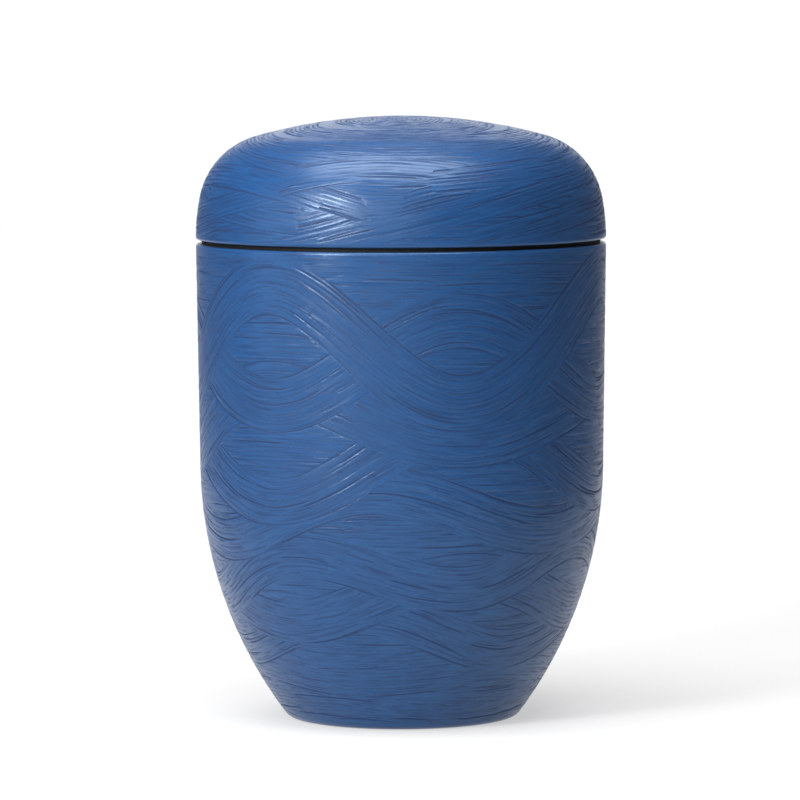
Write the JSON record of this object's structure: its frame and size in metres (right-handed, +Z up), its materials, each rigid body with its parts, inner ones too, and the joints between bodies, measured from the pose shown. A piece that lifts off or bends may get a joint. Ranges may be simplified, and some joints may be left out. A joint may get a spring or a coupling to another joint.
{
  "type": "funeral urn",
  "caption": "Hollow round funeral urn with a domed lift-off lid, a flat foot below a flared wall, and a hand-combed painted coat.",
  "frame": {"origin": "centre of the foot's underside, on the surface that the urn stands on", "axes": "+Z up along the axis of revolution, -Y towards the front"},
  "size_m": [0.2096, 0.2096, 0.3075],
  "materials": {
    "combed_coat": "satin blue paint over a hand-combed filler coat on sheet steel",
    "seal_rubber": "matte black"
  },
  "bodies": {
    "root": {"body": "combed_coat", "lid": "combed_coat", "seal_ring": "seal_rubber"}
  },
  "joints": []
}
